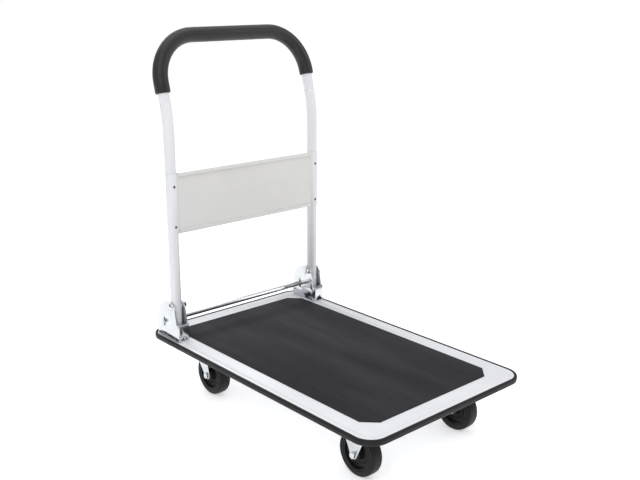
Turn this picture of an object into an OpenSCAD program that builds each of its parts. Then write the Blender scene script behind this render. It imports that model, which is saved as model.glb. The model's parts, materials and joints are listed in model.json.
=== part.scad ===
// Flatbed platform truck with a folding handle, two fixed and two swivel casters.
// +Z up, +X to the side, the handle at the +Y end, origin on the floor under the deck's centre.

/* [Deck] */
// Overall width over the edge bumper
deck_w = 480; // [400:1:600]
// Overall length over the edge bumper
deck_l = 772; // [620:1:930]
// Thickness of the pressed steel sheet
deck_sheet = 1.2; // [1:0.1:2]
// Corner radius over the bumper
corner_r = 46; // [30:1:60]
// Height that the rim lies below the deck's flat top
rim_step = 2; // [1:0.1:3]
// Width of the lowered rim
rim_w = 12.5; // [8:0.5:16]
// Depth of the turned-down edge flange
flange_h = 10; // [8:0.5:14]
// Thickness of the rubber edge bumper
bumper_t = 3; // [2:0.5:6]
// Width of the bumper's lips above and below the flange
bumper_lip = 4; // [3:0.5:6]
// Thickness of the bumper's lips
lip_t = 1; // [0.8:0.1:1.2]
// Thickness of the anti-slip mat
mat_t = 2; // [1:0.5:4]
// White border beside the mat
mat_side = 50; // [45:1:70]
// White border at the mat's two ends
mat_end = 51.5; // [40:0.5:80]
// Corner cut of the mat
mat_cut = 29; // [10:1:40]

/* [Under-deck channels] */
// Depth of the hat-section channels
channel_h = 14.8; // [12:0.1:24]
// Sheet thickness of the channels
channel_t = 1.5; // [1:0.1:2.5]
// Outer width of the two cross channels
cross_w = 104; // [100:1:130]
// Outer width of the two lengthways ribs
rib_w = 40; // [30:1:60]
// Width of the welded edges on each side
channel_edge = 12; // [8:1:20]
// Distance of each rib from the truck's centre line
rib_x = 70; // [50:1:80]

/* [Casters] */
// Wheel diameter
wheel_d = 100; // [80:1:125]
// Tyre width
wheel_w = 30; // [22:1:34]
// Distance from the deck's side edge to each wheel's middle
wheel_inset = 90; // [84:1:110]
// Distance from the deck's end to each caster's plate centre
caster_inset = 115; // [110:1:140]
// Room between the wheel's top and the caster's plate
wheel_room = 24; // [22:1:36]
// Trail of the swivel casters
trail = 32; // [26:1:38]
// Caster plate length
plate_l = 95; // [90:1:98]
// Caster plate thickness
plate_t = 3; // [2.5:0.1:4]
// Fork sheet thickness
fork_t = 2.5; // [2:0.1:4]
// Gap between the tyre and each fork leg
fork_gap = 3; // [2:0.5:5]
// Axle bolt diameter
axle_d = 8; // [6:0.5:10]
// Plate bolt diameter
plate_bolt_d = 8; // [6:0.5:8]
// Lengthways spacing of the plate bolts
bolt_span_l = 75; // [74:1:78]
// Room between the plate bolts' heads and the fork legs
bolt_room = 1; // [0.5:0.1:3]
// Distance from each plate bolt to the plate's side edge
plate_edge = 9; // [8:0.5:12]
// Diameter of the balls in the swivel head
ball_d = 5; // [4:0.5:6]

/* [Handle] */
// Height of the grip's top above the floor
handle_top = 865.5; // [780:0.5:1040]
// Tube diameter
tube_d = 25.4; // [22:0.1:30]
// Tube wall
tube_wall = 1.5; // [1:0.1:2.5]
// Distance from the deck's side edge to each leg's axis
leg_inset = 25.6; // [24:0.1:32]
// Distance from the deck's rear edge to the legs' axis
leg_setback = 92.5; // [85:0.5:110]
// Height above the deck at which the legs start to lean back
lean_start = 482; // [440:1:520]
// Angle of the lean
lean = 15; // [5:1:20]
// Bend radius of the lean
lean_r = 300; // [200:10:360]
// Bend radius of the top corners
top_r = 103; // [80:1:110]
// Grip diameter
grip_d = 35; // [30:0.5:42]
// Height above the lean's bend at which the grip ends on the left
grip_end_left = 22; // [10:1:44]
// The same on the right
grip_end_right = 39; // [10:1:44]

/* [Back panel] */
// Height of the panel's lower edge above the deck
panel_low = 260; // [220:1:300]
// Panel height
panel_h = 142; // [100:1:170]
// Panel sheet thickness
panel_t = 1.2; // [0.8:0.1:2]
// Height of the folded hems
hem_h = 8; // [5:0.5:12]
// Depth of the folded hems
hem_d = 4; // [2:0.5:5]
// Upper rivets, below the panel's top
rivet_drop = 30; // [15:1:40]
// Lower rivets, above the panel's foot
rivet_rise = 17; // [12:1:40]
// Rivet head diameter
rivet_d = 6.4; // [5:0.1:8]

/* [Hinge brackets] */
// Sheet thickness of the brackets
bracket_t = 2.5; // [2:0.1:4]
// Base plate thickness
base_t = 2.5; // [2:0.1:4]
// Gap between the tube and each cheek
cheek_gap = 0.6; // [0.4:0.1:2]
// Height of the cheeks above the deck
cheek_h = 93; // [88:1:110]
// Height of the front web above the deck
web_h = 41; // [38:1:44]
// Reach of the bracket in front of the legs' axis
bracket_front = 29.5; // [28:0.5:34]
// Reach of the bracket behind the legs' axis
bracket_rear = 59.5; // [56:0.5:70]
// Height of the hinge axis above the deck
pivot_h = 81.4; // [80:0.1:84]
// Hinge bolt diameter
pivot_d = 10; // [8:0.5:12]
// Base bolt diameter
base_bolt_d = 8; // [6:0.5:8]

/* [Foot lock] */
// Diameter of the foot bar
bar_d = 12; // [10:0.5:16]
// Wall of the foot bar
bar_wall = 1.5; // [1:0.1:2.5]
// Foot bar, behind the hinge axis
bar_back = 30; // [29:0.5:31]
// Foot bar, below the hinge axis
bar_down = 42.8; // [42:0.1:46]
// Travel of the foot bar
bar_travel = 8; // [5:0.5:9]
// Diameter of the bar's end bolts
bar_bolt_d = 6; // [5:0.5:7]
// Depth of the legs' tails below the hinge axis
tail_h = 44.4; // [42:0.1:45]
// Spring wire
wire_d = 1.4; // [1:0.1:1.6]
// Turns of each spring
spring_turns = 4; // [3:1:5]

/* [Hidden] */
$fn = 64;

// Clearances
slip = 0.1;      // radial, between a bolt and its hole
running = 0.05;  // radial, between a shaft and its bush
apart = 0.4;     // between pieces that move past each other

// Colours
paint = [0.93, 0.93, 0.94];
black_rubber = [0.09, 0.09, 0.1];
mat_grey = [0.17, 0.17, 0.19];
zinc = [0.72, 0.74, 0.76];
chrome = [0.82, 0.83, 0.85];
nylon = [0.85, 0.84, 0.78];

// Heights of the deck
plate_low = wheel_d + wheel_room;
channel_low = plate_low + plate_t;
deck_low = channel_low + channel_h;
deck_top = deck_low + deck_sheet;
rim_top = deck_top - rim_step;
flange_low = rim_top - flange_h;

// Plan of the deck
corner_x = deck_w / 2 - corner_r;
corner_y = deck_l / 2 - corner_r;
flange_u = corner_r - bumper_t;
step_u = flange_u - rim_w;
riser_w = 2.5;
edge_bend = 2;
bumper_low = flange_low - lip_t;
bumper_high = rim_top + lip_t;

// Places of the legs and the hinge
leg_x = deck_w / 2 - leg_inset;
leg_y = deck_l / 2 - leg_setback;
tube_r = tube_d / 2;
tube_bore_r = tube_r - tube_wall;
pivot_z = deck_top + pivot_h;
tail_z = pivot_z - tail_h;
plug_head = 2;
lean_z = deck_top + lean_start;
arc_end_y = leg_y + lean_r * (1 - cos(lean));
arc_end_z = lean_z + lean_r * sin(lean);
top_axis_z = handle_top - grip_d / 2;
lean_run = (top_axis_z - arc_end_z) / cos(lean);
straight_run = lean_run - top_r;

// Hinge bracket, in the leg's own frame: x across the tube, y along the deck
cheek_in = tube_r + cheek_gap;
cheek_out = cheek_in + bracket_t;
bend_r = 4;
bracket_notch_r = 9;
bracket_hole_r = 2.5;
base_top = deck_top + base_t;
web_top = deck_top + web_h;
web_front = leg_y - bracket_front;
cheek_front = web_front + 8;
cheek_rear = leg_y + bracket_rear;
top_arc_y = leg_y + 6.5;
rear_arc_r = cheek_rear - top_arc_y;
front_arc_r = 23;
cheek_top = deck_top + cheek_h;
base_bolts_y = [leg_y - 14.5, leg_y + 49.5];
head_d = 1.63;  // across flats of a hexagon, per bolt diameter
head_h = 0.66;  // height of a hexagon head, per bolt diameter
nut_h = 0.8;    // height of a nut, per bolt diameter

// Foot lock
bar_y = leg_y + bar_back;
bar_z = pivot_z - bar_down;
bar_half = leg_x - cheek_out - apart;
slot_rise = 8.5;
tail_sweep = norm([tail_h, tube_r]);
dog_low = base_top + 15.5;
dog_front = leg_y - tube_r + apart / 2;
dog_rear = bar_y + 11;
dog_high = bar_z + 8;
dog_half = cheek_in - apart;
spring_r = 5.2;
spring_y = leg_y + 21.5;
insert_l = 14;

// Panel
panel_z = deck_top + panel_low;
panel_front = leg_y - 8;
wrap_r = tube_r + 0.1;

// Casters
wheel_x = deck_w / 2 - wheel_inset;
plate_y = deck_l / 2 - caster_inset;
rear_axle_y = plate_y - trail;
axle_z = wheel_d / 2;
fork_in = wheel_w / 2 + fork_gap;
fork_out = fork_in + fork_t;
leg_tip_r = 9;
fork_bend = 4;
bolt_x = fork_out + bolt_room + head_d * plate_bolt_d / 2 / cos(30);
plate_w = 2 * (bolt_x + plate_edge);
bush_r = axle_d / 2 + 2;
tyre_in = wheel_d / 2 - 14;
hub_boss_r = 14;
hub_web = 9;
race_r = 23;
race_h = 3;
ball_z = plate_low - race_h - ball_d / 2 + 0.2;
crown_top = ball_z - ball_d / 2 - apart;
crown_low = crown_top - fork_t;
crown_r = 30;
skirt_r = 33;
skirt_t = 1.5;
ball_count = 18;
king_r = 6;
king_head_r = 10;
king_head_h = 3;

// ---------- general shapes ----------

// Puts the children on the left (-1) and on the right (+1), mirrored
module on_side(s) {
    if (s < 0) mirror([1, 0, 0]) children();
    if (s > 0) children();
}

module on_both_sides() {
    on_side(-1) children();
    on_side(1) children();
}

// Cylinder along X from x0 to x1
module bar_x(r, x0, x1) {
    translate([x0, 0, 0]) rotate([0, 90, 0]) cylinder(r = r, h = x1 - x0);
}

// Hexagon along X, sized across its flats
module hex_x(flats, x0, x1) {
    translate([x0, 0, 0]) rotate([0, 90, 0]) cylinder(d = flats / cos(30), h = x1 - x0, $fn = 6);
}

// Hexagon along Z
module hex_z(flats, z0, z1) {
    translate([0, 0, z0]) cylinder(d = flats / cos(30), h = z1 - z0, $fn = 6);
}

// Domed head on the XY plane
module dome(r, h) {
    ball_r = (r * r + h * h) / (2 * h);
    rotate_extrude() intersection() {
        translate([0, h - ball_r]) circle(ball_r);
        square([r, h]);
    }
}

// Rectangle with round corners, centred
module round_rect(w, l, r) {
    square([w - 2 * r, l], center = true);
    square([w, l - 2 * r], center = true);
    for (x = [-1, 1], y = [-1, 1]) translate([x * (w / 2 - r), y * (l / 2 - r)]) circle(r);
}

// Sweeps a profile round the deck's edge: x is the distance outwards from the corner's centre
module round_the_deck() {
    for (i = [0:3]) {
        a = i % 2 == 0 ? corner_x : corner_y;
        b = i % 2 == 0 ? corner_y : corner_x;
        rotate(90 * i) translate([a, b, 0]) {
            rotate([90, 0, 0]) linear_extrude(2 * b) children();
            rotate_extrude(angle = 90) children();
        }
    }
}

// ---------- deck ----------

module rim_profile() {
    t = deck_sheet;
    // flat edge, riser and lowered rim
    polygon([
        [step_u - riser_w - 2, deck_top - t], [step_u - riser_w + t * 0.4, deck_top - t],
        [step_u - t * 0.4, rim_top - t], [flange_u - edge_bend, rim_top - t],
        [flange_u - edge_bend, rim_top], [step_u, rim_top],
        [step_u - riser_w, deck_top], [step_u - riser_w - 2, deck_top]
    ]);
    // round bend
    translate([flange_u - edge_bend, rim_top - edge_bend]) intersection() {
        difference() {
            circle(edge_bend);
            circle(edge_bend - t);
        }
        square(edge_bend);
    }
    // flange
    translate([flange_u - t, flange_low]) square([t, flange_h - edge_bend]);
}

module deck_pan() {
    color(paint) {
        round_the_deck() rim_profile();
        difference() {
            translate([0, 0, deck_low]) linear_extrude(deck_sheet)
                round_rect(2 * (corner_x + step_u - riser_w - 1), 2 * (corner_y + step_u - riser_w - 1),
                           step_u - riser_w - 1);
            base_bolt_places() cylinder(d = base_bolt_d + 2 * slip, h = 3 * deck_sheet, center = true);
        }
    }
}

module anti_slip_mat() {
    w = deck_w / 2 - mat_side;
    l = deck_l / 2 - mat_end;
    color(mat_grey) translate([0, 0, deck_top]) linear_extrude(mat_t) polygon([
        [w - mat_cut, -l], [w, mat_cut - l], [w, l - mat_cut], [w - mat_cut, l],
        [mat_cut - w, l], [-w, l - mat_cut], [-w, mat_cut - l], [mat_cut - w, -l]
    ]);
}

module bumper_profile() {
    h = bumper_high - bumper_low;
    r = min(bumper_t / 2, h / 3);
    translate([flange_u, bumper_low]) {
        square([bumper_t - r, h]);
        translate([0, r]) square([bumper_t, h - 2 * r]);
        translate([bumper_t - r, r]) circle(r);
        translate([bumper_t - r, h - r]) circle(r);
    }
    // lips over the rim and under the flange
    for (z = [bumper_low, bumper_high - lip_t]) translate([flange_u - bumper_lip, z])
        square([bumper_lip, lip_t]);
}

module edge_bumper() {
    color(black_rubber) round_the_deck() bumper_profile();
}

// Hat-section channel along X, open upwards, its edges against the deck's underside
module hat_profile(w) {
    t = channel_t;
    h = channel_h;
    difference() {
        translate([-w / 2, 0]) square([w, h]);
        translate([-w / 2 + t, t]) square([w - 2 * t, h]);
    }
    for (s = [-1, 1]) translate([s * (w + channel_edge) / 2 - channel_edge / 2, h - t])
        square([channel_edge, t]);
}

module cross_channel(y) {
    half = corner_x + step_u - riser_w - 6;
    color(paint) difference() {
        translate([-half, y, channel_low]) rotate([90, 0, 90]) linear_extrude(2 * half)
            hat_profile(cross_w);
        plate_bolt_places() cylinder(d = plate_bolt_d + 2 * slip, h = 3 * channel_t, center = true);
    }
}

module front_channel() { cross_channel(-plate_y); }
module rear_channel() { cross_channel(plate_y); }

module rib(s) {
    half = plate_y - cross_w / 2 - channel_edge - 1;
    color(paint) translate([s * rib_x, half, channel_low]) rotate([90, 0, 0])
        linear_extrude(2 * half) hat_profile(rib_w);
}

// ---------- hinge brackets ----------

module base_bolt_places() {
    for (s = [-1, 1], y = base_bolts_y) translate([s * leg_x, y, deck_top]) children();
}

module bracket_base(s) {
    color(zinc) difference() {
        translate([s * leg_x, (web_front + cheek_rear) / 2, deck_top]) linear_extrude(base_t)
            round_rect(2 * cheek_out, cheek_rear - web_front, bend_r);
        base_bolt_places() cylinder(d = base_bolt_d + 2 * slip, h = 3 * base_t, center = true);
    }
}

// Side view of a cheek, as (y, z)
module cheek_outline() {
    arc_z = cheek_top - rear_arc_r;
    translate([cheek_front, base_top]) square([cheek_rear - cheek_front, arc_z - base_top]);
    intersection() {
        translate([top_arc_y, arc_z]) circle(rear_arc_r);
        translate([top_arc_y, arc_z]) square(rear_arc_r);
    }
    translate([top_arc_y, cheek_top - front_arc_r]) circle(front_arc_r);
    polygon([
        [cheek_front, arc_z], [cheek_front, web_top + 2], [top_arc_y - front_arc_r, cheek_top - front_arc_r],
        [top_arc_y, cheek_top - front_arc_r], [top_arc_y, arc_z]
    ]);
}

// Plan view of the front bend's outer face, filled, x across the tube
module front_outline() {
    translate([0, (web_front + cheek_front) / 2 + bend_r])
        round_rect(2 * cheek_out, cheek_front - web_front + 2 * bend_r, bend_r);
}

// Plan view of the web and its two bends
module web_plan() {
    difference() {
        front_outline();
        translate([0, (web_front + cheek_front) / 2 + bend_r + bracket_t])
            round_rect(2 * cheek_in, cheek_front - web_front + 2 * bend_r, bend_r - bracket_t);
        translate([-cheek_out - 1, cheek_front]) square([2 * cheek_out + 2, 4 * bend_r]);
    }
}

// Plan view of the lip that turns back from the web's top edge to the tube
module lip_plan() {
    difference() {
        front_outline();
        translate([-cheek_out - 1, cheek_front]) square([2 * cheek_out + 2, 4 * bend_r]);
    }
    translate([-cheek_in, cheek_front]) square([2 * cheek_in, leg_y - tube_r - apart - cheek_front]);
}

module slot_shape(low, high, w) {
    for (z = [low, high]) translate([bar_y, z]) circle(d = w);
    translate([bar_y - w / 2, low]) square([w, high - low]);
}

module hinge_bracket(s) {
    color(zinc) on_side(s) translate([leg_x, 0, 0]) difference() {
        union() {
            for (x = [-cheek_out, cheek_in]) translate([x, 0, 0]) rotate([90, 0, 90])
                linear_extrude(bracket_t) cheek_outline();
            translate([0, 0, base_top]) linear_extrude(web_top - bracket_t - base_top) web_plan();
            translate([0, 0, web_top - bracket_t]) linear_extrude(bracket_t) lip_plan();
        }
        // hinge bolt
        translate([0, leg_y, pivot_z]) bar_x(pivot_d / 2 + slip, -2 * cheek_out, 2 * cheek_out);
        // slots for the foot bar's bolts
        translate([-2 * cheek_out, 0, 0]) rotate([90, 0, 90]) linear_extrude(4 * cheek_out)
            slot_shape(bar_z - bar_travel - apart, bar_z + slot_rise, bar_bolt_d + 2 * apart);
        // arched notches at the foot of the web and of the inner cheek
        translate([0, web_front, base_top]) rotate([90, 0, 0])
            cylinder(r = bracket_notch_r, h = 3 * bracket_t, center = true);
        translate([0, cheek_front + bracket_notch_r + 3, base_top])
            bar_x(bracket_notch_r, -2 * cheek_out, 0);
        // small hole in the inner cheek
        translate([0, cheek_front + 2 * bracket_hole_r, web_top - bracket_t - 2 * bracket_hole_r])
            bar_x(bracket_hole_r, -2 * cheek_out, -cheek_in + 1);
    }
}

module bracket_bolts() {
    d = base_bolt_d;
    color(zinc) base_bolt_places() {
        hex_z(head_d * d, base_t, base_t + head_h * d);
        translate([0, 0, -deck_sheet - nut_h * d - 2]) cylinder(d = d, h = base_t + deck_sheet + nut_h * d + 3);
    }
}

module bracket_nuts() {
    d = base_bolt_d;
    color(zinc) base_bolt_places() difference() {
        hex_z(head_d * d, -deck_sheet - nut_h * d, -deck_sheet);
        cylinder(d = d + slip, h = 8 * d, center = true);
    }
}

module pivot_bolts() {
    color(zinc) on_both_sides() translate([leg_x, leg_y, pivot_z]) {
        bar_x(pivot_d / 2, -cheek_out - nut_h * pivot_d - 2, cheek_out + 1);
        translate([cheek_out, 0, 0]) rotate([0, 90, 0]) dome(0.85 * pivot_d, 0.45 * pivot_d);
    }
}

module pivot_nuts() {
    color(zinc) on_both_sides() translate([leg_x, leg_y, pivot_z]) difference() {
        hex_x(head_d * pivot_d, -cheek_out - nut_h * pivot_d, -cheek_out);
        bar_x(pivot_d / 2 + slip / 2, -2 * cheek_out - 20, 0);
    }
}

// ---------- foot lock ----------

module lock_bar() {
    color(chrome) translate([0, bar_y, bar_z]) difference() {
        bar_x(bar_d / 2, -bar_half, bar_half);
        bar_x(bar_d / 2 - bar_wall, insert_l - bar_half, bar_half - insert_l);
        bar_x(bar_bolt_d / 2 + slip / 2, -bar_half - 1, bar_half + 1);
    }
}

// Blocks under the legs' tails: their hollow faces follow the tails' sweep
module lock_dogs() {
    color(zinc) on_both_sides() translate([leg_x - dog_half, 0, 0]) rotate([90, 0, 90])
        linear_extrude(2 * dog_half) difference() {
            translate([dog_front, dog_low]) square([dog_rear - dog_front, dog_high - dog_low]);
            translate([leg_y, pivot_z]) circle(tail_sweep + apart);
            translate([bar_y, bar_z]) circle(bar_bolt_d / 2 + slip / 2);
        }
}

module lock_bolts() {
    head_r = 0.75 * bar_bolt_d;
    color(zinc) on_both_sides() translate([leg_x, bar_y, bar_z]) difference() {
        union() {
            bar_x(bar_bolt_d / 2, -cheek_out - apart - insert_l + 2, cheek_out + apart + 1);
            bar_x(head_r, cheek_out + apart, cheek_out + apart + 3);
        }
        hex_x(bar_bolt_d * 0.55, cheek_out + apart + 1, cheek_out + apart + 4);
    }
}

// Compression spring between the base plate and the dog, as one swept wire
module coil(r, wire, height, turns) {
    sides = 8;
    steps = 20 * turns;
    rise = height - wire;
    ring = [for (i = [0:steps]) let (a = 360 * turns * i / steps, z = wire / 2 + rise * i / steps)
        [for (k = [0:sides - 1]) let (b = 360 * k / sides, q = r + wire / 2 * cos(b))
            [q * cos(a), q * sin(a), z + wire / 2 * sin(b)]]];
    points = [for (g = ring) each g];
    walls = [for (i = [0:steps - 1], k = [0:sides - 1]) let (n = (k + 1) % sides)
        [i * sides + k, (i + 1) * sides + k, (i + 1) * sides + n, i * sides + n]];
    ends = [[for (k = [0:sides - 1]) k], [for (k = [sides - 1:-1:0]) steps * sides + k]];
    polyhedron(points, concat(walls, ends));
}

module lock_springs() {
    color(zinc) on_both_sides() translate([leg_x, spring_y, base_top])
        coil(spring_r, wire_d, dog_low - base_top - 0.2, spring_turns);
}

// ---------- handle ----------

// Frame of the leaning stretch: z along the tube, from the end of the lean's bend
module lean_frame(s) {
    on_side(s) translate([leg_x, arc_end_y, arc_end_z]) rotate([-lean, 0, 0]) children();
}

module ring(r_out, r_in) {
    difference() {
        circle(r_out);
        circle(r_in);
    }
}

// Straight part of one leg above the lean's bend, from a height along it
module lean_straight(s, r_out, r_in, from) {
    lean_frame(s) translate([0, 0, from]) linear_extrude(straight_run - from) ring(r_out, r_in);
}

// Top corner of one leg
module top_corner(s, r_out, r_in) {
    lean_frame(s) translate([-top_r, 0, straight_run]) rotate([90, 0, 0])
        rotate_extrude(angle = 90) translate([top_r, 0]) ring(r_out, r_in);
}

module top_bar(r_out, r_in) {
    lean_frame(1) translate([-top_r, 0, straight_run]) rotate([90, 0, 0])
        translate([2 * (top_r - leg_x), top_r, 0]) rotate([90, 0, 90])
            linear_extrude(2 * (leg_x - top_r)) ring(r_out, r_in);
}

// One leg from its plugged tail to the end of the lean's bend
module handle_leg(s) {
    color(paint) on_side(s) difference() {
        union() {
            translate([leg_x, leg_y + lean_r, lean_z]) rotate([90, 0, -90])
                rotate_extrude(angle = lean) translate([lean_r, 0]) ring(tube_r, tube_bore_r);
            translate([leg_x, leg_y, tail_z + plug_head])
                linear_extrude(lean_z - tail_z - plug_head) ring(tube_r, tube_bore_r);
        }
        translate([leg_x, leg_y, pivot_z]) bar_x(pivot_d / 2 + 2, -2 * tube_r, 2 * tube_r);
        rivet_places(0.05);
    }
}

// The rest of the tube, above the bends of the two legs
module handle_hoop() {
    color(paint) {
        top_bar(tube_r, tube_bore_r);
        for (s = [-1, 1]) {
            top_corner(s, tube_r, tube_bore_r);
            lean_straight(s, tube_r, tube_bore_r, 0);
        }
    }
}

module handle_grip() {
    wall_in = tube_r + 0.05;
    color(black_rubber) {
        top_bar(grip_d / 2, wall_in);
        for (end = [[-1, grip_end_left], [1, grip_end_right]]) {
            top_corner(end[0], grip_d / 2, wall_in);
            lean_straight(end[0], grip_d / 2, wall_in, end[1]);
        }
    }
}

module pivot_bushes() {
    half = cheek_in - apart;
    color(nylon) on_both_sides() translate([leg_x, leg_y, pivot_z]) difference() {
        bar_x(pivot_d / 2 + 2 - 0.02, -half, half);
        bar_x(pivot_d / 2 + running, -half - 1, half + 1);
    }
}

module leg_plugs() {
    color(black_rubber) on_both_sides() translate([leg_x, leg_y, tail_z]) {
        cylinder(r = tube_r, h = plug_head);
        cylinder(r = tube_bore_r - 0.05, h = plug_head + 12);
    }
}

// Rivets point forwards from the front of each leg
module rivet_places(extra) {
    for (z = [panel_z + rivet_rise, panel_z + panel_h - rivet_drop])
        translate([leg_x, leg_y - tube_r + tube_wall + 2, z]) rotate([90, 0, 0])
            cylinder(d = 4 + 2 * extra, h = 8, $fn = 32);
}

module panel_rivets() {
    front = leg_y - wrap_r - panel_t;
    back = leg_y - tube_r + tube_wall + 2;
    color([0.35, 0.35, 0.37]) on_both_sides()
        for (z = [panel_z + rivet_rise, panel_z + panel_h - rivet_drop]) translate([leg_x, front, z])
            rotate([90, 0, 0]) {
                dome(rivet_d / 2, 1.5);
                translate([0, 0, front - back]) cylinder(d = 4, h = back - front + 0.5, $fn = 32);
            }
}

// Plan of the right half of the panel: flat sheet that wraps round the front of the leg
module panel_plan() {
    out = wrap_r + panel_t;
    drop = leg_y - panel_front;
    meet = sqrt(out * out - drop * drop);
    square_w = leg_x - meet + 0.2;
    translate([0, panel_front]) square([square_w, panel_t]);
    translate([leg_x, leg_y]) intersection() {
        difference() {
            circle(out);
            circle(wrap_r);
        }
        translate([-out, -out]) square([2 * out, out - 2]);
    }
}

module back_panel() {
    meet = sqrt(pow(wrap_r + panel_t, 2) - pow(leg_y - panel_front, 2));
    hem_half = leg_x - meet - 1.5;
    color(paint) difference() {
        union() {
            on_both_sides() translate([0, 0, panel_z]) linear_extrude(panel_h) panel_plan();
            for (z = [panel_z, panel_z + panel_h - hem_h])
                translate([-hem_half, panel_front - hem_d, z]) cube([2 * hem_half, hem_d, hem_h]);
        }
        on_both_sides() rivet_places(0.05);
    }
}

// ---------- casters ----------

module plate_bolt_places() {
    for (s = [-1, 1], e = [-1, 1], x = [-1, 1], y = [-1, 1])
        translate([s * wheel_x + x * bolt_x, e * plate_y + y * bolt_span_l / 2, channel_low])
            children();
}

module caster_bolts() {
    d = plate_bolt_d;
    color(zinc) plate_bolt_places() {
        hex_z(head_d * d, -plate_t - head_h * d, -plate_t);
        translate([0, 0, -plate_t - 1]) cylinder(d = d, h = plate_t + channel_t + nut_h * d + 2);
    }
}

module caster_nuts() {
    d = plate_bolt_d;
    color(zinc) plate_bolt_places() difference() {
        hex_z(head_d * d, channel_t, channel_t + nut_h * d);
        cylinder(d = d + slip, h = 8 * d, center = true);
    }
}

module caster_plate(x, y) {
    difference() {
        translate([x, y, plate_low]) linear_extrude(plate_t) round_rect(plate_w, plate_l, 8);
        plate_bolt_places() cylinder(d = plate_bolt_d + 2 * slip, h = 3 * plate_t, center = true);
    }
}

// Side view of a fork leg as (y, z): a wide top that tapers to a round tip at the axle
module leg_outline(top_y, top_half, top_z, axle_y) {
    function side(s) = let (dy = top_y + s * top_half - axle_y, dz = top_z - axle_z,
        reach = norm([dy, dz]), turn = acos(leg_tip_r / reach), a = atan2(dz, dy) - s * turn)
        [axle_y + leg_tip_r * cos(a), axle_z + leg_tip_r * sin(a)];
    translate([axle_y, axle_z]) circle(leg_tip_r);
    polygon([[top_y - top_half, top_z], [top_y + top_half, top_z], side(1), [axle_y, axle_z], side(-1)]);
}

module fork_legs(top_y, top_half, top_z, axle_y) {
    for (x = [-fork_out, fork_in]) translate([x, 0, 0]) rotate([90, 0, 90])
        linear_extrude(fork_t) difference() {
            leg_outline(top_y, top_half, top_z, axle_y);
            translate([axle_y, axle_z]) circle(axle_d / 2 + slip);
        }
}

module fixed_fork(s) {
    x = s * wheel_x;
    color(zinc) {
        caster_plate(x, -plate_y);
        translate([x, 0, 0]) fork_legs(-plate_y, plate_l / 2 - 4, plate_low, -plate_y);
    }
}

// Places the children at each front wheel, or at one rear wheel
module at_front_wheels() {
    for (s = [-1, 1]) translate([s * wheel_x, -plate_y, axle_z]) on_side(s) children();
}

module at_rear_wheel(s) {
    translate([s * wheel_x, rear_axle_y, axle_z]) on_side(s) children();
}

module axle_bolt() {
    d = axle_d;
    color(zinc) {
        hex_x(head_d * d, fork_out, fork_out + head_h * d);
        bar_x(d / 2, -fork_out - nut_h * d - 2, fork_out + 1);
    }
}

module axle_nut() {
    d = axle_d;
    color(zinc) difference() {
        hex_x(head_d * d, -fork_out - nut_h * d, -fork_out);
        bar_x(d / 2 + slip / 2, -3 * fork_out, 0);
    }
}

module axle_bush() {
    color(zinc) difference() {
        bar_x(bush_r, slip - fork_in, fork_in - slip);
        bar_x(axle_d / 2 + running, -2 * fork_in, 2 * fork_in);
    }
}

module tyre() {
    shoulder = 5;
    color(black_rubber) rotate([0, 90, 0]) rotate_extrude() difference() {
        translate([wheel_d / 2 - shoulder, 0]) union() {
            square([2 * shoulder, wheel_w - 2 * shoulder], center = true);
            for (e = [-1, 1]) translate([0, e * (wheel_w / 2 - shoulder)]) circle(shoulder);
            translate([-(wheel_d / 2 - shoulder - tyre_in), -wheel_w / 2])
                square([wheel_d / 2 - shoulder - tyre_in, wheel_w]);
        }
        translate([0, -wheel_w]) square([tyre_in, 2 * wheel_w]);
    }
}

module hub() {
    rim = 4;
    recess = 1.5;
    color([0.12, 0.12, 0.13]) rotate([0, 90, 0]) rotate_extrude() {
        translate([tyre_in - rim, recess - wheel_w / 2]) square([rim, wheel_w - 2 * recess]);
        translate([bush_r + running, -hub_web / 2]) square([tyre_in - 1 - bush_r, hub_web]);
        translate([bush_r + running, apart - fork_in])
            square([hub_boss_r - bush_r, 2 * (fork_in - apart)]);
    }
}

module swivel_plate(s) {
    x = s * wheel_x;
    color(zinc) {
        difference() {
            caster_plate(x, plate_y);
            translate([x, plate_y, plate_low - 1]) cylinder(r = king_r + slip / 2, h = plate_t + 2);
        }
        translate([x, plate_y, 0]) rotate_extrude() {
            // upper race with its ball groove
            difference() {
                translate([race_r - 5, plate_low - race_h]) square([10, race_h]);
                translate([race_r, ball_z]) circle(ball_d / 2 + running);
            }
            // dust skirt
            translate([skirt_r - skirt_t, crown_top]) square([skirt_t, plate_low - crown_top]);
        }
    }
}

module race_balls(s) {
    color(chrome) translate([s * wheel_x, plate_y, ball_z])
        for (i = [0:ball_count - 1]) rotate(360 * i / ball_count) translate([race_r, 0, 0])
            sphere(d = ball_d, $fn = 24);
}

module kingpin(s) {
    color(zinc) translate([s * wheel_x, plate_y, 0]) {
        translate([0, 0, crown_low - apart - 1]) cylinder(r = king_r, h = plate_low + plate_t - crown_low + apart + 1);
        translate([0, 0, crown_low - apart - king_head_h]) cylinder(r = king_head_r, h = king_head_h);
    }
}

module swivel_fork(s) {
    x = s * wheel_x;
    top_half = 27;
    color(zinc) {
        difference() {
            union() {
                translate([x, plate_y, crown_low]) cylinder(r = crown_r, h = fork_t);
                translate([x - fork_out, plate_y - top_half, crown_low])
                    cube([2 * fork_out, 2 * top_half, fork_t]);
            }
            translate([x, plate_y, crown_low - 1]) cylinder(r = king_r + running, h = fork_t + 2);
        }
        translate([x, 0, 0]) fork_legs(plate_y, top_half, crown_low, rear_axle_y);
    }
}

// ---------- the assembly ----------

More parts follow.
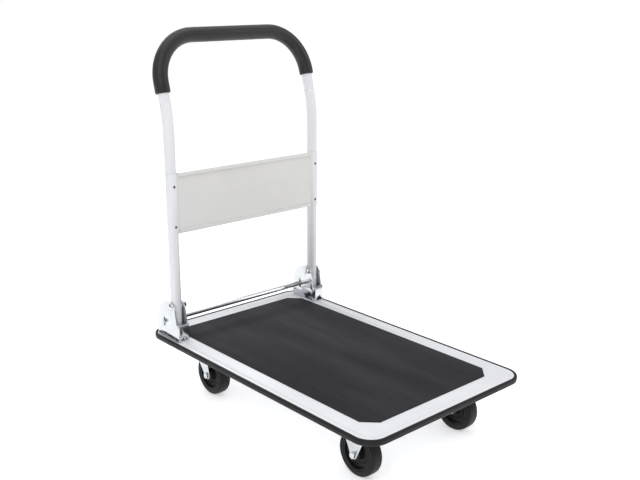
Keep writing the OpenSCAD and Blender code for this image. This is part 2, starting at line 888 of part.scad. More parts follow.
deck_pan();
anti_slip_mat();
edge_bumper();
front_channel();
rear_channel();
rib(-1);  // rib_left
rib(1);  // rib_right
bracket_base(-1);  // bracket_base_left
bracket_base(1);  // bracket_base_right
hinge_bracket(-1);  // hinge_bracket_left
hinge_bracket(1);  // hinge_bracket_right
bracket_bolts();
bracket_nuts();
pivot_bolts();
pivot_nuts();
lock_springs();
lock_bar();
lock_dogs();
lock_bolts();
handle_leg(-1);  // handle_leg_left
handle_leg(1);  // handle_leg_right
handle_hoop();
handle_grip();
back_panel();
panel_rivets();
pivot_bushes();
leg_plugs();
fixed_fork(-1);  // fixed_fork_left
fixed_fork(1);  // fixed_fork_right
at_front_wheels() axle_bolt();  // front_axle_bolts
at_front_wheels() axle_nut();  // front_axle_nuts
at_front_wheels() axle_bush();  // front_axle_bushes
caster_bolts();
caster_nuts();
swivel_plate(-1);  // swivel_plate_left
swivel_plate(1);  // swivel_plate_right
race_balls(-1);  // race_balls_left
race_balls(1);  // race_balls_right
kingpin(-1);  // kingpin_left
kingpin(1);  // kingpin_right
swivel_fork(-1);  // swivel_fork_left
swivel_fork(1);  // swivel_fork_right
at_rear_wheel(-1) axle_bolt();  // rear_axle_bolt_left
at_rear_wheel(1) axle_bolt();  // rear_axle_bolt_right
at_rear_wheel(-1) axle_nut();  // rear_axle_nut_left
at_rear_wheel(1) axle_nut();  // rear_axle_nut_right
at_rear_wheel(-1) axle_bush();  // rear_axle_bush_left
at_rear_wheel(1) axle_bush();  // rear_axle_bush_right
translate([-wheel_x, -plate_y, axle_z]) tyre();  // tyre_front_left
translate([wheel_x, -plate_y, axle_z]) tyre();  // tyre_front_right
at_rear_wheel(-1) tyre();  // tyre_rear_left
at_rear_wheel(1) tyre();  // tyre_rear_right
translate([-wheel_x, -plate_y, axle_z]) hub();  // hub_front_left
translate([wheel_x, -plate_y, axle_z]) hub();  // hub_front_right
at_rear_wheel(-1) hub();  // hub_rear_left
at_rear_wheel(1) hub();  // hub_rear_right
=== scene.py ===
import json
from math import cos, pi, radians, sin

import bpy
from mathutils import Matrix, Vector


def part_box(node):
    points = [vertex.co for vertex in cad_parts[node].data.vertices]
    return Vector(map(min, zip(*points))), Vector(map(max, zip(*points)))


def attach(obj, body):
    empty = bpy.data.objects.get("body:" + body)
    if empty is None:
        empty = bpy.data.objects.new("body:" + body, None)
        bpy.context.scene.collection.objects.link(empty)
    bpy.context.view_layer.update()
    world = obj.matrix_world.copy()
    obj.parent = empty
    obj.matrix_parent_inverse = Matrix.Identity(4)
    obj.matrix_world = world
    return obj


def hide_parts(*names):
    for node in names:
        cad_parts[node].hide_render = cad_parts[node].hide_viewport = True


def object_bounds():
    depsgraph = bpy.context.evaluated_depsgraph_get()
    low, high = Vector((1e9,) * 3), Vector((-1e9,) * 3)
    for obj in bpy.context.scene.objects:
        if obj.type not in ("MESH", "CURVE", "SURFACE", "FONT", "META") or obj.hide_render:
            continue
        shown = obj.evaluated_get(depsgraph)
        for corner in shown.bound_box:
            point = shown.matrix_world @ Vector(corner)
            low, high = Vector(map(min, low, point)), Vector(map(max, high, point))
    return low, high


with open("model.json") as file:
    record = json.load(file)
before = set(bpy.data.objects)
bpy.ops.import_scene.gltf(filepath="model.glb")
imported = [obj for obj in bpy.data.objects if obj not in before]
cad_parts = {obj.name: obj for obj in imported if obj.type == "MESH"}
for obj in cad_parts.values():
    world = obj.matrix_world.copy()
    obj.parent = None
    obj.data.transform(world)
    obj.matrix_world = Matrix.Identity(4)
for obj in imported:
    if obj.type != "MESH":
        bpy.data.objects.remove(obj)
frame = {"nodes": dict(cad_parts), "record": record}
nodes = frame["nodes"]
cad_low, cad_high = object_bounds()

# ---------- sizes of the pieces modelled here, in metres ----------

LEAN = radians(15)            # lean of the handle's top
LEG_X = 0.2144                # legs from the middle
LEG_Y = 0.2935
LEAN_Z = 0.625                # where the legs start to bend back
LEAN_R = 0.300
HOOP_R = 0.103                # bend of the top corners
TUBE_R = 0.0127
GRIP_R = 0.0175
BUMPER_CORNER = 0.046
GRIP_ENDS = {-1: 0.022, 1: 0.039}   # where the grip ends, above the bends, left and right

ALONG = Vector((0, sin(LEAN), cos(LEAN)))      # up the leaning stretch
ACROSS = Vector((0, cos(LEAN), -sin(LEAN)))    # square to the hoop's plane
BEND_END = Vector((LEG_X, LEG_Y + LEAN_R * (1 - cos(LEAN)), LEAN_Z + LEAN_R * sin(LEAN)))


# ---------- modelling by hand ----------

def clear_choice():
    bpy.ops.object.select_all(action="DESELECT")


def take(piece):
    clear_choice()
    bpy.context.view_layer.objects.active = piece
    piece.select_set(True)


def into_edit(piece):
    take(piece)
    bpy.ops.object.mode_set(mode="EDIT")


def out_of_edit():
    bpy.ops.object.mode_set(mode="OBJECT")


def choose_vertices(piece, wanted):
    """Selects the vertices whose place passes the test, in edit mode."""
    bpy.ops.mesh.select_mode(type="VERT")
    bpy.ops.mesh.select_all(action="DESELECT")
    out_of_edit()
    for vertex in piece.data.vertices:
        vertex.select = wanted(vertex.co)
    bpy.ops.object.mode_set(mode="EDIT")


def extrude(step):
    bpy.ops.mesh.extrude_region_move(TRANSFORM_OT_translate={"value": tuple(step)})


def extrude_to_size(step, size):
    """One more ring: extruded by the step and scaled about its own middle."""
    extrude(step)
    bpy.ops.transform.resize(value=(size, size, size))


def spin(steps, angle, center, axis):
    bpy.ops.mesh.spin(steps=steps, angle=angle, center=tuple(center), axis=tuple(axis))


def trace(name, points, closed=True):
    """Draws a chain of edges by extruding one vertex from point to point. Stays in edit mode."""
    clear_choice()
    bpy.ops.mesh.primitive_plane_add(size=0.001, location=(0, 0, 0))
    piece = bpy.context.object
    piece.name = name
    bpy.ops.object.mode_set(mode="EDIT")
    bpy.ops.mesh.select_all(action="SELECT")
    bpy.ops.mesh.merge(type="CENTER")
    bpy.ops.transform.translate(value=tuple(points[0]))
    for here, there in zip(points, points[1:]):
        extrude(Vector(there) - Vector(here))
    if closed:
        extrude(Vector(points[0]) - Vector(points[-1]))
    bpy.ops.mesh.select_all(action="SELECT")
    bpy.ops.mesh.remove_doubles(threshold=1e-6)
    bpy.ops.mesh.select_all(action="SELECT")
    return piece


def close_up(piece, smooth=30):
    """Merges doubles, turns the faces outwards and shades the piece. Leaves edit mode."""
    bpy.ops.mesh.select_all(action="SELECT")
    bpy.ops.mesh.remove_doubles(threshold=1e-6)
    bpy.ops.mesh.normals_make_consistent(inside=False)
    out_of_edit()
    take(piece)
    bpy.ops.object.transform_apply(location=True, rotation=True, scale=True)
    bpy.ops.object.shade_smooth_by_angle(angle=radians(smooth))


def copy_to(piece, name, shift):
    """A copy with its own mesh, moved by the shift."""
    take(piece)
    bpy.ops.object.duplicate(linked=False)
    twin = bpy.context.object
    twin.name = name
    bpy.ops.transform.translate(value=tuple(shift))
    bpy.ops.object.transform_apply(location=True, rotation=True, scale=True)
    return twin


def arc(cx, cy, r, start, end, steps):
    """Points on an arc, as (across, up), angles in degrees."""
    return [(cx + r * cos(radians(start + (end - start) * i / steps)),
             cy + r * sin(radians(start + (end - start) * i / steps))) for i in range(steps + 1)]


# ---------- the grip ----------

def model_grip():
    wall = GRIP_R - TUBE_R
    round_end = 0.0035
    start = Vector((-BEND_END.x, BEND_END.y, BEND_END.z)) + ALONG * GRIP_ENDS[-1]
    straight = (cad_high.z - GRIP_R - BEND_END.z) / cos(LEAN) - HOOP_R
    clear_choice()
    bpy.ops.mesh.primitive_circle_add(vertices=40, radius=TUBE_R + 0.0001, location=start,
                                      rotation=(-LEAN, 0, 0))
    grip = bpy.context.object
    grip.name = "sleeve_grip"
    bpy.ops.object.transform_apply(location=True, rotation=True, scale=True)
    bpy.ops.object.mode_set(mode="EDIT")
    bpy.ops.mesh.select_all(action="SELECT")
    # the end rolls over from the tube to the full thickness
    flat = wall - round_end
    radius = TUBE_R + 0.0001
    extrude_to_size((0, 0, 0), (radius + flat) / radius)
    radius += flat
    steps = 5
    for i in range(1, steps + 1):
        a = pi / 2 * i / steps
        new = GRIP_R - round_end + round_end * sin(a)
        rise = round_end * (cos(a - pi / 2 / steps) - cos(a))
        extrude_to_size(ALONG * rise, new / radius)
        radius = new
    extrude(ALONG * (straight - GRIP_ENDS[-1] - round_end))
    corner = Vector((-BEND_END.x + HOOP_R, BEND_END.y, BEND_END.z)) + ALONG * straight
    spin(18, pi / 2, corner, -ACROSS)
    extrude((2 * (LEG_X - HOOP_R), 0, 0))
    corner = Vector((BEND_END.x - HOOP_R, BEND_END.y, BEND_END.z)) + ALONG * straight
    spin(18, pi / 2, corner, -ACROSS)
    extrude(-ALONG * (straight - GRIP_ENDS[1] - round_end))
    for i in range(1, steps + 1):
        a = pi / 2 * (1 - i / steps)
        new = GRIP_R - round_end + round_end * sin(a)
        rise = round_end * (cos(a) - cos(a + pi / 2 / steps))
        extrude_to_size(-ALONG * rise, new / radius)
        radius = new
    extrude_to_size((0, 0, 0), (TUBE_R + 0.0001) / radius)
    close_up(grip, 50)
    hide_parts("handle_grip")
    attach(grip, "handle")
    return grip


# ---------- the edge bumper ----------

def model_bumper():
    """A moulded strip with a rolled face and two lips, run once round the deck's edge."""
    low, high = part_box("edge_bumper")
    x, y = high.x - BUMPER_CORNER, high.y - BUMPER_CORNER
    top, foot = high.z, low.z
    wall, lip, thin = 0.0030, 0.0070, 0.0010
    # section, as (inwards from the outer face, height)
    upper = [(lip, top - thin), (lip, top - 0.0006), (lip - 0.0004, top - 0.0001), (wall + 0.0006, top + 0.0002),
             (0.0022, top + 0.0002), (0.0013, top - 0.0002), (0.0006, top - 0.0009), (0.0002, top - 0.0020),
             (0, top - 0.0036)]
    lower = [(inwards, foot + top - height) for inwards, height in reversed(upper)]
    section = upper + lower + [(wall, foot + thin), (wall, top - thin)]
    bumper = trace("bumper_strip", [Vector((high.x - inwards, -y, height)) for inwards, height in section])
    sides = ((0, 2 * y, 0), (-2 * x, 0, 0), (0, -2 * y, 0), (2 * x, 0, 0))
    corners = ((x, y, 0), (-x, y, 0), (-x, -y, 0), (x, -y, 0))
    for side, corner in zip(sides, corners):
        extrude(side)
        spin(16, pi / 2, corner, (0, 0, -1))
    close_up(bumper, 35)
    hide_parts("edge_bumper")
    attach(bumper, "truck")
    return bumper


# ---------- the wheels ----------

def model_wheels():
    low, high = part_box("tyre_front_left")
    middle = (low + high) / 2
    half = (high.x - low.x) / 2
    r = (high.z - low.z) / 2
    inner = r - 0.014
    # tyre: crowned tread, round shoulders, a raised ring on each side wall
    side = [(inner, -half + 0.0012), (inner + 0.0015, -half), (inner + 0.0035, -half),
            (inner + 0.0042, -half + 0.0007), (r - 0.0062, -half + 0.0009)]
    tread = arc(0, 0, 0.0052, 180, 90, 6)
    shoulder = [(r - 0.0056 + y, -half + 0.0057 + x) for x, y in tread]
    crown = [(r - 0.0001, -half * 0.35), (r, 0)]
    upper = side + shoulder + crown
    lower = [(z, -x) for z, x in reversed(upper[:-1])]
    tyre = trace("tyre", [Vector((middle.x + x, middle.y, middle.z + z)) for z, x in upper + lower])
    spin(72, 2 * pi, middle, (1, 0, 0))
    close_up(tyre, 35)

    # hub: a flange at the tyre, a dished web with two steps and a boss
    bore = (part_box("front_axle_bushes")[1].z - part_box("front_axle_bushes")[0].z) / 2 + 0.00005
    boss_half = (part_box("hub_front_left")[1].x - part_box("hub_front_left")[0].x) / 2
    lip = half - 0.0014
    upper = [(bore, -boss_half), (0.0125, -boss_half), (0.0135, -boss_half + 0.001), (0.0142, -0.0062),
             (0.0150, -0.0052), (0.0215, -0.0048), (0.0225, -0.0060), (0.0240, -0.0060),
             (0.0250, -0.0048), (0.0300, -0.0055), (0.0318, -0.0075), (0.0325, -lip),
             (0.0332, -lip - 0.0006), (0.0352, -lip - 0.0006), (inner, -lip)]
    lower = [(z, -x) for z, x in reversed(upper)]
    hub = trace("hub", [Vector((middle.x + x, middle.y, middle.z + z)) for z, x in upper + lower])
    spin(72, 2 * pi, middle, (1, 0, 0))
    close_up(hub, 35)

    made = []
    for place in ("front_left", "front_right", "rear_left", "rear_right"):
        low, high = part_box("tyre_" + place)
        shift = (low + high) / 2 - middle
        for kind, first, slot in (("tyre", tyre, "wheel_rubber"), ("hub", hub, "black_plastic")):
            piece = copy_to(first, "wheel_%s_%s" % (kind, place), shift)
            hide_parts("%s_%s" % (kind, place))
            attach(piece, "wheel_" + place)
            made.append((kind, piece))
    for first in (tyre, hub):
        bpy.data.objects.remove(first, do_unlink=True)
    return made


# ---------- material parts ----------

def new_group(name, inputs, outputs):
    group = bpy.data.node_groups.new(name, "ShaderNodeTree")
    for label, kind, value in inputs:
        socket = group.interface.new_socket(name=label, in_out="INPUT", socket_type="NodeSocket" + kind)
        if value is not None:
            socket.default_value = value
    for label, kind in outputs:
        group.interface.new_socket(name=label, in_out="OUTPUT", socket_type="NodeSocket" + kind)
    return group, group.nodes.new("NodeGroupInput"), group.nodes.new("NodeGroupOutput")


def noise(tree, vector, scale, detail=3.0, rough=0.5):
    """A noise node; vector and scale may be sockets or values."""
    node = tree.nodes.new("ShaderNodeTexNoise")
    node.inputs["Detail"].default_value = detail
    node.inputs["Roughness"].default_value = rough
    tree.links.new(vector, node.inputs["Vector"])
    if isinstance(scale, (int, float)):
        node.inputs["Scale"].default_value = scale
    else:
        tree.links.new(scale, node.inputs["Scale"])
    return node.outputs["Fac"]


def maths(tree, operation, *values):
    node = tree.nodes.new("ShaderNodeMath")
    node.operation = operation
    for socket, value in zip(node.inputs, values):
        if isinstance(value, (int, float)):
            socket.default_value = value
        else:
            tree.links.new(value, socket)
    return node.outputs[0]


def spread(tree, value, low, high, to_low=0.0, to_high=1.0):
    """Maps a stretch of values onto another, smoothly and clamped."""
    node = tree.nodes.new("ShaderNodeMapRange")
    node.interpolation_type = "SMOOTHSTEP"
    tree.links.new(value, node.inputs["Value"])
    for label, number in zip(("From Min", "From Max", "To Min", "To Max"), (low, high, to_low, to_high)):
        if isinstance(number, (int, float)):
            node.inputs[label].default_value = number
        else:
            tree.links.new(number, node.inputs[label])
    return node.outputs["Result"]


def mixed(tree, share, first, second):
    node = tree.nodes.new("ShaderNodeMix")
    node.data_type = "RGBA"
    for label, value in ((0, share), (6, first), (7, second)):
        if isinstance(value, (int, float)):
            node.inputs[label].default_value = value
        elif isinstance(value, tuple):
            node.inputs[label].default_value = value + (1.0,)
        else:
            tree.links.new(value, node.inputs[label])
    return node.outputs[2]


def grain_group():
    """Fine grain for height, and broad soft patches for tone."""
    g, put, out = new_group("surface_grain", [("Vector", "Vector", None), ("Grain", "Float", 900.0),
                                              ("Patches", "Float", 12.0)],
                            [("Height", "Float"), ("Tone", "Float")])
    fine = noise(g, put.outputs["Vector"], put.outputs["Grain"], 2.0, 0.55)
    finer = noise(g, put.outputs["Vector"], maths(g, "MULTIPLY", put.outputs["Grain"], 2.7), 1.0, 0.5)
    g.links.new(maths(g, "ADD", maths(g, "MULTIPLY", fine, 0.7), maths(g, "MULTIPLY", finer, 0.3)),
                out.inputs["Height"])
    broad = noise(g, put.outputs["Vector"], put.outputs["Patches"], 4.0, 0.6)
    g.links.new(spread(g, broad, 0.3, 0.7), out.inputs["Tone"])
    return g


def scuff_group():
    """Sparse thin scratches and rubbed spots."""
    g, put, out = new_group("scuffs", [("Vector", "Vector", None), ("Scale", "Float", 30.0),
                                       ("Amount", "Float", 0.5)], [("Mask", "Float")])
    stretch = g.nodes.new("ShaderNodeMapping")
    stretch.inputs["Scale"].default_value = (1.0, 9.0, 1.0)
    stretch.inputs["Rotation"].default_value = (0.3, 0.2, 0.9)
    g.links.new(put.outputs["Vector"], stretch.inputs["Vector"])
    lines = noise(g, stretch.outputs["Vector"], put.outputs["Scale"], 5.0, 0.65)
    where = noise(g, put.outputs["Vector"], 9.0, 2.0, 0.5)
    thin = spread(g, lines, 0.60, 0.66)
    mask = maths(g, "MULTIPLY", maths(g, "MULTIPLY", thin, spread(g, where, 0.5, 0.62)),
                 put.outputs["Amount"])
    g.links.new(mask, out.inputs["Mask"])
    return g


def dust_group():
    """Dust that lies on what faces up, thicker near the floor."""
    g, put, out = new_group("settled_dust", [("Vector", "Vector", None), ("Normal", "Vector", None),
                                             ("Reach", "Float", 0.12)], [("Mask", "Float")])
    place = g.nodes.new("ShaderNodeSeparateXYZ")
    g.links.new(put.outputs["Vector"], place.inputs[0])
    facing = g.nodes.new("ShaderNodeSeparateXYZ")
    g.links.new(put.outputs["Normal"], facing.inputs[0])
    low = spread(g, place.outputs["Z"], 0.0, put.outputs["Reach"], 1.0, 0.0)
    up = spread(g, facing.outputs["Z"], 0.2, 1.0)
    patch = spread(g, noise(g, put.outputs["Vector"], 45.0, 4.0, 0.6), 0.35, 0.7)
    both = maths(g, "MAXIMUM", low, maths(g, "MULTIPLY", up, 0.5))
    g.links.new(maths(g, "MULTIPLY", both, patch), out.inputs["Mask"])
    return g


GRAIN, SCUFFS, DUST = grain_group(), scuff_group(), dust_group()


class Finish:
    """One material: its shader, its place on the surface and the groups it uses."""

    def __init__(self, name, roughness, metallic=0.0, **fixed):
        self.material = bpy.data.materials.new(name)
        self.material.use_nodes = True
        self.tree = self.material.node_tree
        self.shader = self.tree.nodes["Principled BSDF"]
        self.shader.inputs["Roughness"].default_value = roughness
        self.shader.inputs["Metallic"].default_value = metallic
        for label, value in fixed.items():
            self.shader.inputs[label.replace("_", " ")].default_value = value
        self.place = self.tree.nodes.new("ShaderNodeTexCoord").outputs["Object"]

    def use(self, group, **values):
        node = self.tree.nodes.new("ShaderNodeGroup")
        node.node_tree = group
        self.tree.links.new(self.place, node.inputs["Vector"])
        for label, value in values.items():
            if isinstance(value, (int, float)):
                node.inputs[label].default_value = value
            else:
                self.tree.links.new(value, node.inputs[label])
        return node.outputs

    def link(self, socket, label):
        self.tree.links.new(socket, self.shader.inputs[label])

    def bump(self, height, distance, strength=1.0, under=None):
        node = self.tree.nodes.new("ShaderNodeBump")
        node.inputs["Distance"].default_value = distance
        node.inputs["Strength"].default_value = strength
        self.tree.links.new(height, node.inputs["Height"])
        if under is not None:
            self.tree.links.new(under, node.inputs["Normal"])
        return node.outputs["Normal"]

    def facing(self):
        return self.tree.nodes.new("ShaderNodeNewGeometry").outputs["Normal"]


WHITE = (0.745, 0.75, 0.772)


def powder_coat(name, light, roughness, over_legs=None):
    """Satin powder coat: orange peel, faint tone patches, a few rub marks and a little dust.
    A second colour is for what wraps round the legs."""
    f = Finish(name, roughness, Coat_Weight=0.12, Coat_Roughness=0.3)
    grain = f.use(GRAIN, Grain=520.0, Patches=7.0)
    scuffs = f.use(SCUFFS, Scale=55.0, Amount=0.25)["Mask"]
    dust = f.use(DUST, Normal=f.facing(), Reach=0.05)["Mask"]
    dark = tuple(0.945 * c for c in light)
    base = mixed(f.tree, grain["Tone"], dark, light)
    if over_legs:
        place = f.tree.nodes.new("ShaderNodeSeparateXYZ")
        f.tree.links.new(f.place, place.inputs[0])
        side = maths(f.tree, "ABSOLUTE", place.outputs["X"])
        base = mixed(f.tree, spread(f.tree, side, LEG_X - 0.014, LEG_X - 0.009), base, over_legs)
    base = mixed(f.tree, scuffs, base, (dark[0] * 0.86, dark[1] * 0.86, dark[2] * 0.87))
    base = mixed(f.tree, maths(f.tree, "MULTIPLY", dust, 0.06), base, (0.42, 0.40, 0.37))
    f.link(base, "Base Color")
    rough = maths(f.tree, "ADD", spread(f.tree, grain["Tone"], 0.0, 1.0, roughness - 0.03, roughness + 0.04),
                  maths(f.tree, "MULTIPLY", scuffs, 0.12))
    f.link(rough, "Roughness")
    f.link(f.bump(grain["Height"], 0.00012, 0.6), "Normal")
    return f.material


def anti_slip():
    """Charcoal sheet with a fine pebbled face."""
    f = Finish("charcoal_anti_slip", 0.62, Specular_IOR_Level=0.22)
    pebble = f.tree.nodes.new("ShaderNodeTexVoronoi")
    pebble.feature = "SMOOTH_F1"
    pebble.inputs["Scale"].default_value = 420.0
    pebble.inputs["Smoothness"].default_value = 0.35
    f.tree.links.new(f.place, pebble.inputs["Vector"])
    dome = spread(f.tree, pebble.outputs["Distance"], 0.05, 0.62, 1.0, 0.0)
    grain = f.use(GRAIN, Grain=1500.0, Patches=5.0)
    streaks = f.tree.nodes.new("ShaderNodeMapping")
    streaks.inputs["Scale"].default_value = (9.0, 1.3, 1.0)
    streaks.inputs["Rotation"].default_value = (0.0, 0.0, 1.25)
    f.tree.links.new(f.place, streaks.inputs["Vector"])
    sheen = noise(f.tree, streaks.outputs["Vector"], 1.6, 3.0, 0.55)
    scuffs = f.use(SCUFFS, Scale=26.0, Amount=0.5)["Mask"]
    # painted shade: the colour is darker in the gaps between the pebbles and lighter on their tops
    base = mixed(f.tree, dome, (0.010, 0.010, 0.0115), (0.022, 0.022, 0.025))
    # painted sheen: the lighter streaks mixed into the colour stand in for the mat's faint sheen; the same streaks
    # also vary the roughness
    base = mixed(f.tree, maths(f.tree, "MULTIPLY", spread(f.tree, sheen, 0.35, 0.75), 0.5), base,
                 (0.033, 0.033, 0.037))
    base = mixed(f.tree, maths(f.tree, "MULTIPLY", scuffs, 0.35), base, (0.055, 0.055, 0.06))
    f.link(base, "Base Color")
    f.link(spread(f.tree, maths(f.tree, "ADD", maths(f.tree, "MULTIPLY", dome, -0.4), sheen), 0.0, 1.0,
                  0.72, 0.5), "Roughness")
    height = maths(f.tree, "ADD", dome, maths(f.tree, "MULTIPLY", grain["Height"], 0.25))
    f.link(f.bump(height, 0.00035, 0.8), "Normal")
    return f.material


def black_rubber(name, base, roughness, grain_scale, depth, dusty=0.0, reach=0.1, sheen=0.0, shine=0.25):
    """Moulded rubber: fine grain, soft tone patches, pale rub marks and dust."""
    f = Finish(name, roughness, Specular_IOR_Level=shine, Sheen_Weight=sheen, Sheen_Roughness=0.5)
    grain = f.use(GRAIN, Grain=grain_scale, Patches=14.0)
    scuffs = f.use(SCUFFS, Scale=70.0, Amount=0.5)["Mask"]
    colour = mixed(f.tree, grain["Tone"], tuple(0.75 * c for c in base), tuple(1.3 * c for c in base))
    colour = mixed(f.tree, maths(f.tree, "MULTIPLY", scuffs, 0.4), colour, (0.035, 0.035, 0.035))
    if dusty:
        dust = f.use(DUST, Normal=f.facing(), Reach=reach)["Mask"]
        colour = mixed(f.tree, maths(f.tree, "MULTIPLY", dust, dusty), colour, (0.11, 0.105, 0.10))
    f.link(colour, "Base Color")
    f.link(spread(f.tree, grain["Tone"], 0.0, 1.0, roughness - 0.06, roughness + 0.08), "Roughness")
    f.link(f.bump(grain["Height"], depth, 0.7), "Normal")
    return f.material


def zinc_plate(name, base, roughness, lines=0.5):
    """Bright zinc on rolled steel: fine rolling lines, cloudy passivation and thin scratches."""
    f = Finish(name, roughness, 1.0)
    stretch = f.tree.nodes.new("ShaderNodeMapping")
    stretch.inputs["Scale"].default_value = (60.0, 3.0, 60.0)
    f.tree.links.new(f.place, stretch.inputs["Vector"])
    rolled = noise(f.tree, stretch.outputs["Vector"], 12.0, 3.0, 0.6)
    grain = f.use(GRAIN, Grain=700.0, Patches=38.0)
    scuffs = f.use(SCUFFS, Scale=95.0, Amount=0.35)["Mask"]
    cool = tuple(c * k for c, k in zip(base, (0.94, 0.955, 0.975)))
    warm = tuple(c * k for c, k in zip(base, (1.03, 1.02, 1.0)))
    colour = mixed(f.tree, grain["Tone"], cool, warm)
    colour = mixed(f.tree, maths(f.tree, "MULTIPLY", scuffs, 0.35), colour, tuple(0.6 * c for c in base))
    f.link(colour, "Base Color")
    rough = maths(f.tree, "ADD", spread(f.tree, grain["Tone"], 0.0, 1.0, roughness - 0.05, roughness + 0.06),
                  maths(f.tree, "MULTIPLY", scuffs, 0.2))
    f.link(rough, "Roughness")
    height = maths(f.tree, "ADD", maths(f.tree, "MULTIPLY", rolled, lines), maths(f.tree, "MULTIPLY", grain["Height"], 0.4))
    f.link(f.bump(height, 0.00003, 0.5), "Normal")
    return f.material


def bright_chrome():
    f = Finish("bright_chrome", 0.07, 1.0)
    grain = f.use(GRAIN, Grain=400.0, Patches=22.0)
    scuffs = f.use(SCUFFS, Scale=120.0, Amount=0.6)["Mask"]
    f.link(mixed(f.tree, grain["Tone"], (0.74, 0.755, 0.77), (0.82, 0.83, 0.84)), "Base Color")
    f.link(maths(f.tree, "ADD", spread(f.tree, grain["Tone"], 0.0, 1.0, 0.05, 0.11),
                 maths(f.tree, "MULTIPLY", scuffs, 0.15)), "Roughness")
    f.link(f.bump(grain["Height"], 0.000006, 0.4), "Normal")
    return f.material


def moulded_plastic(name, base, roughness, shine=0.5):
    f = Finish(name, roughness, Specular_IOR_Level=shine)
    grain = f.use(GRAIN, Grain=1100.0, Patches=30.0)
    scuffs = f.use(SCUFFS, Scale=80.0, Amount=0.5)["Mask"]
    dust = f.use(DUST, Normal=f.facing(), Reach=0.09)["Mask"]
    colour = mixed(f.tree, grain["Tone"], tuple(0.85 * c for c in base), tuple(1.15 * c for c in base))
    colour = mixed(f.tree, maths(f.tree, "MULTIPLY", scuffs, 0.3), colour, tuple(min(1.0, 2.0 * c + 0.01) for c in base))
    colour = mixed(f.tree, maths(f.tree, "MULTIPLY", dust, 0.06), colour, (0.2, 0.19, 0.175))
    f.link(colour, "Base Color")
    f.link(spread(f.tree, grain["Tone"], 0.0, 1.0, roughness - 0.05, roughness + 0.08), "Roughness")
    f.link(f.bump(grain["Height"], 0.00006, 0.5), "Normal")
    return f.material


def dark_steel():
    f = Finish("dark_rivet_steel", 0.38, 0.85)
    grain = f.use(GRAIN, Grain=1300.0, Patches=90.0)
    f.link(mixed(f.tree, grain["Tone"], (0.05, 0.05, 0.055), (0.14, 0.14, 0.15)), "Base Color")
    f.link(spread(f.tree, grain["Tone"], 0.0, 1.0, 0.3, 0.5), "Roughness")
    f.link(f.bump(grain["Height"], 0.00004, 0.5), "Normal")
    return f.material


FINISHES = {
    "white_paint": powder_coat("white_powder_coat", WHITE, 0.36),
    "panel_paint": powder_coat("off_white_powder_coat", (0.705, 0.695, 0.675), 0.42, WHITE),
    "mat_rubber": anti_slip(),
    "bumper_rubber": black_rubber("bumper_rubber", (0.006, 0.006, 0.0065), 0.45, 900.0, 0.00008, 0.04, 0.2),
    "grip_rubber": black_rubber("sleeve_rubber", (0.010, 0.010, 0.011), 0.46, 1400.0, 0.0001, sheen=0.08, shine=0.4),
    "wheel_rubber": black_rubber("wheel_rubber", (0.006, 0.006, 0.006), 0.5, 800.0, 0.0001, 0.15, 0.06),
    "black_plastic": moulded_plastic("hub_plastic", (0.006, 0.006, 0.0065), 0.45, 0.25),
    "zinc": zinc_plate("bright_zinc", (0.63, 0.65, 0.665), 0.16),
    "chrome_bar": bright_chrome(),
    "dark_rivet": dark_steel(),
    "nylon": moulded_plastic("natural_nylon", (0.68, 0.66, 0.58), 0.5),
}


# ---------- the carried-over nodes ----------

SOFT_EDGES = {   # edge rounding in metres, where it isn't the usual one
    "anti_slip_mat": 0.0006, "deck_pan": 0.0005, "race_balls_left": 0, "race_balls_right": 0,
    "lock_springs": 0, "handle_grip": 0, "edge_bumper": 0, "panel_rivets": 0.0002,
}
USUAL_EDGE = 0.0004


def finish_node(name, node, slot):
    """Gives a node its material, and rounds its edges with modifiers."""
    node.data.materials.clear()
    node.data.materials.append(FINISHES[slot])
    take(node)
    bpy.ops.object.shade_smooth()
    weld = node.modifiers.new("weld", "WELD")
    weld.merge_threshold = 1e-6
    flat = node.modifiers.new("join_flats", "DECIMATE")
    flat.decimate_type = "DISSOLVE"
    flat.angle_limit = radians(0.4)
    width = SOFT_EDGES.get(name, USUAL_EDGE)
    if width:
        bevel = node.modifiers.new("soft_edges", "BEVEL")
        bevel.limit_method = "ANGLE"
        bevel.angle_limit = radians(32)
        bevel.width = width
        bevel.segments = 2
        bevel.harden_normals = True


grip = model_grip()
grip.data.materials.append(FINISHES["grip_rubber"])
model_bumper().data.materials.append(FINISHES["bumper_rubber"])
for kind, piece in model_wheels():
    piece.data.materials.append(FINISHES["wheel_rubber" if kind == "tyre" else "black_plastic"])
for part in frame["record"]["subparts"]:
    finish_node(part["node"], nodes[part["node"]], part["material_slot"])

# ---------- floor, light and camera ----------

clear_choice()
bpy.ops.mesh.primitive_plane_add(size=60, location=(0, 0, 0))
floor = bpy.context.object
floor.name = "floor"
pale = Finish("pale_floor", 0.6, Specular_IOR_Level=0.2, Emission_Strength=0.45)
patches = pale.use(GRAIN, Grain=60.0, Patches=0.8)
pale.link(mixed(pale.tree, patches["Tone"], (0.86, 0.86, 0.86), (0.88, 0.88, 0.88)), "Base Color")
pale.shader.inputs["Emission Color"].default_value = (1, 1, 1, 1)
floor.data.materials.append(pale.material)

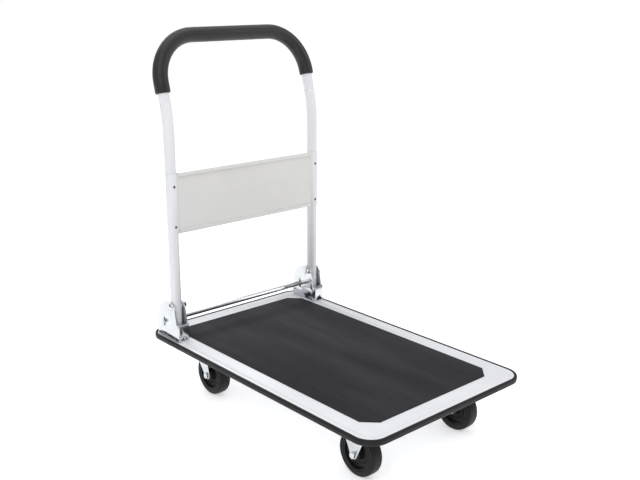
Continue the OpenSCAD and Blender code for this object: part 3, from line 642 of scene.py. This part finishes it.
world = bpy.data.worlds.new("studio")
bpy.context.scene.world = world
world.use_nodes = True
w = world.node_tree
back = w.nodes["Background"]
back.inputs["Strength"].default_value = 0.9
seen = w.nodes.new("ShaderNodeBackground")
seen.inputs["Color"].default_value = (1, 1, 1, 1)
seen.inputs["Strength"].default_value = 1.0
rays = w.nodes.new("ShaderNodeLightPath")
blend = w.nodes.new("ShaderNodeMixShader")
where = w.nodes.new("ShaderNodeTexCoord")
height = w.nodes.new("ShaderNodeSeparateXYZ")
w.links.new(where.outputs["Generated"], height.inputs[0])
ramp = w.nodes.new("ShaderNodeValToRGB")
ramp.color_ramp.elements[0].position = 0.50
ramp.color_ramp.elements[0].color = (0.62, 0.62, 0.63, 1)
ramp.color_ramp.elements[1].position = 1.0
ramp.color_ramp.elements[1].color = (0.95, 0.96, 1.0, 1)
for position, tone in ((0.53, 0.22), (0.60, 0.30), (0.70, 0.62)):
    stop = ramp.color_ramp.elements.new(position)
    stop.color = (tone, tone * 1.01, tone * 1.03, 1)
w.links.new(maths(w, "MULTIPLY_ADD", height.outputs["Z"], 0.5, 0.5), ramp.inputs["Fac"])
w.links.new(ramp.outputs["Color"], back.inputs["Color"])
w.links.new(rays.outputs["Is Camera Ray"], blend.inputs[0])
w.links.new(back.outputs[0], blend.inputs[1])
w.links.new(seen.outputs[0], blend.inputs[2])
w.links.new(blend.outputs[0], w.nodes["World Output"].inputs["Surface"])


def softbox(name, place, aim, size, power, tint=(1, 1, 1)):
    clear_choice()
    bpy.ops.object.light_add(type="AREA", location=place)
    lamp = bpy.context.object
    lamp.name = name
    lamp.data.shape = "RECTANGLE"
    lamp.data.size, lamp.data.size_y = size
    lamp.data.energy = power
    lamp.data.color = tint
    lamp.rotation_euler = (Vector(aim) - Vector(place)).to_track_quat("-Z", "Y").to_euler()


softbox("key_light", (-2.2, -1.6, 2.6), (0, 0, 0.3), (1.8, 1.8), 31)
softbox("fill_light", (2.4, -1.8, 1.9), (0, 0, 0.3), (1.8, 1.4), 16)
softbox("top_light", (0.2, 0.4, 3.0), (0, 0, 0.2), (2.4, 2.4), 25)
softbox("rim_light", (0.6, 2.8, 1.8), (0, 0.2, 0.4), (2.0, 1.0), 16)

scene = bpy.context.scene
scene.view_settings.view_transform = "Standard"
bpy.ops.object.camera_add(location=(-1.3015, -1.4300, 0.9617))
camera = bpy.context.object
camera.name = "camera"
turn = (Matrix.Rotation(radians(-41.88), 4, "Z") @ Matrix.Rotation(radians(90 - 15.94), 4, "X")
        @ Matrix.Rotation(radians(0.16), 4, "Z"))
camera.rotation_euler = turn.to_euler()
camera.data.sensor_width = 36
camera.data.lens = 50.5
scene.camera = camera
